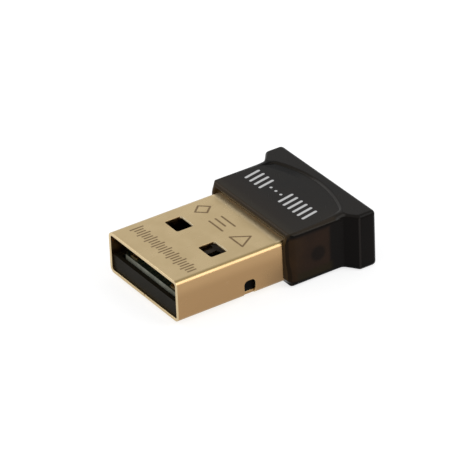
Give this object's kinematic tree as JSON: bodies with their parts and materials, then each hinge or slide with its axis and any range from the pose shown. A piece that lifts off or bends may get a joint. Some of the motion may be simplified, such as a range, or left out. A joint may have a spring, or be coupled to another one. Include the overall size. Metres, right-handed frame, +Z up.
{
  "type": "usb bluetooth adapter",
  "caption": "Nano USB radio adapter: a gold-coloured folded metal USB-A plug on a short smoky black housing that flares into a grip.",
  "frame": {"origin": "bottom centre of the bounding box, under the middle of the adapter's length", "axes": "+X to the right seen from the plug's mouth with the contacts upwards, +Y from the plug's mouth back to the grip, +Z up out of the housing's broad top face"},
  "size_m": [0.016, 0.0216, 0.0061],
  "materials": {
    "gold_steel": "fine satin, gold coloured plating",
    "black_plastic": "fine satin",
    "board_laminate": "satin solder mask",
    "contact_gold": "smooth, gold flashed",
    "smoky_plastic": "glossy, slightly see-through",
    "chip_black": "fine matt",
    "can_metal": "satin",
    "filter_ceramic": "matt ceramic",
    "led_clear": "clear epoxy",
    "antenna_copper": "copper under solder mask",
    "capacitor_tan": "matt ceramic",
    "resistor_black": "matt glaze",
    "bead_grey": "matt ferrite"
  },
  "bodies": {
    "root": {"usb_shell": "gold_steel", "contact_carrier": "black_plastic", "circuit_board": "board_laminate", "contact_supply": "contact_gold", "contact_data_minus": "contact_gold", "contact_data_plus": "contact_gold", "contact_ground": "contact_gold", "housing": "smoky_plastic", "radio_chip": "chip_black", "memory_chip": "chip_black", "voltage_regulator": "chip_black", "crystal": "can_metal", "rf_filter": "filter_ceramic", "status_led": "led_clear", "printed_antenna": "antenna_copper", "capacitor_1": "capacitor_tan", "capacitor_2": "capacitor_tan", "capacitor_3": "capacitor_tan", "capacitor_4": "capacitor_tan", "resistor_1": "resistor_black", "resistor_2": "resistor_black", "resistor_3": "resistor_black", "ferrite_bead": "bead_grey"}
  },
  "joints": []
}
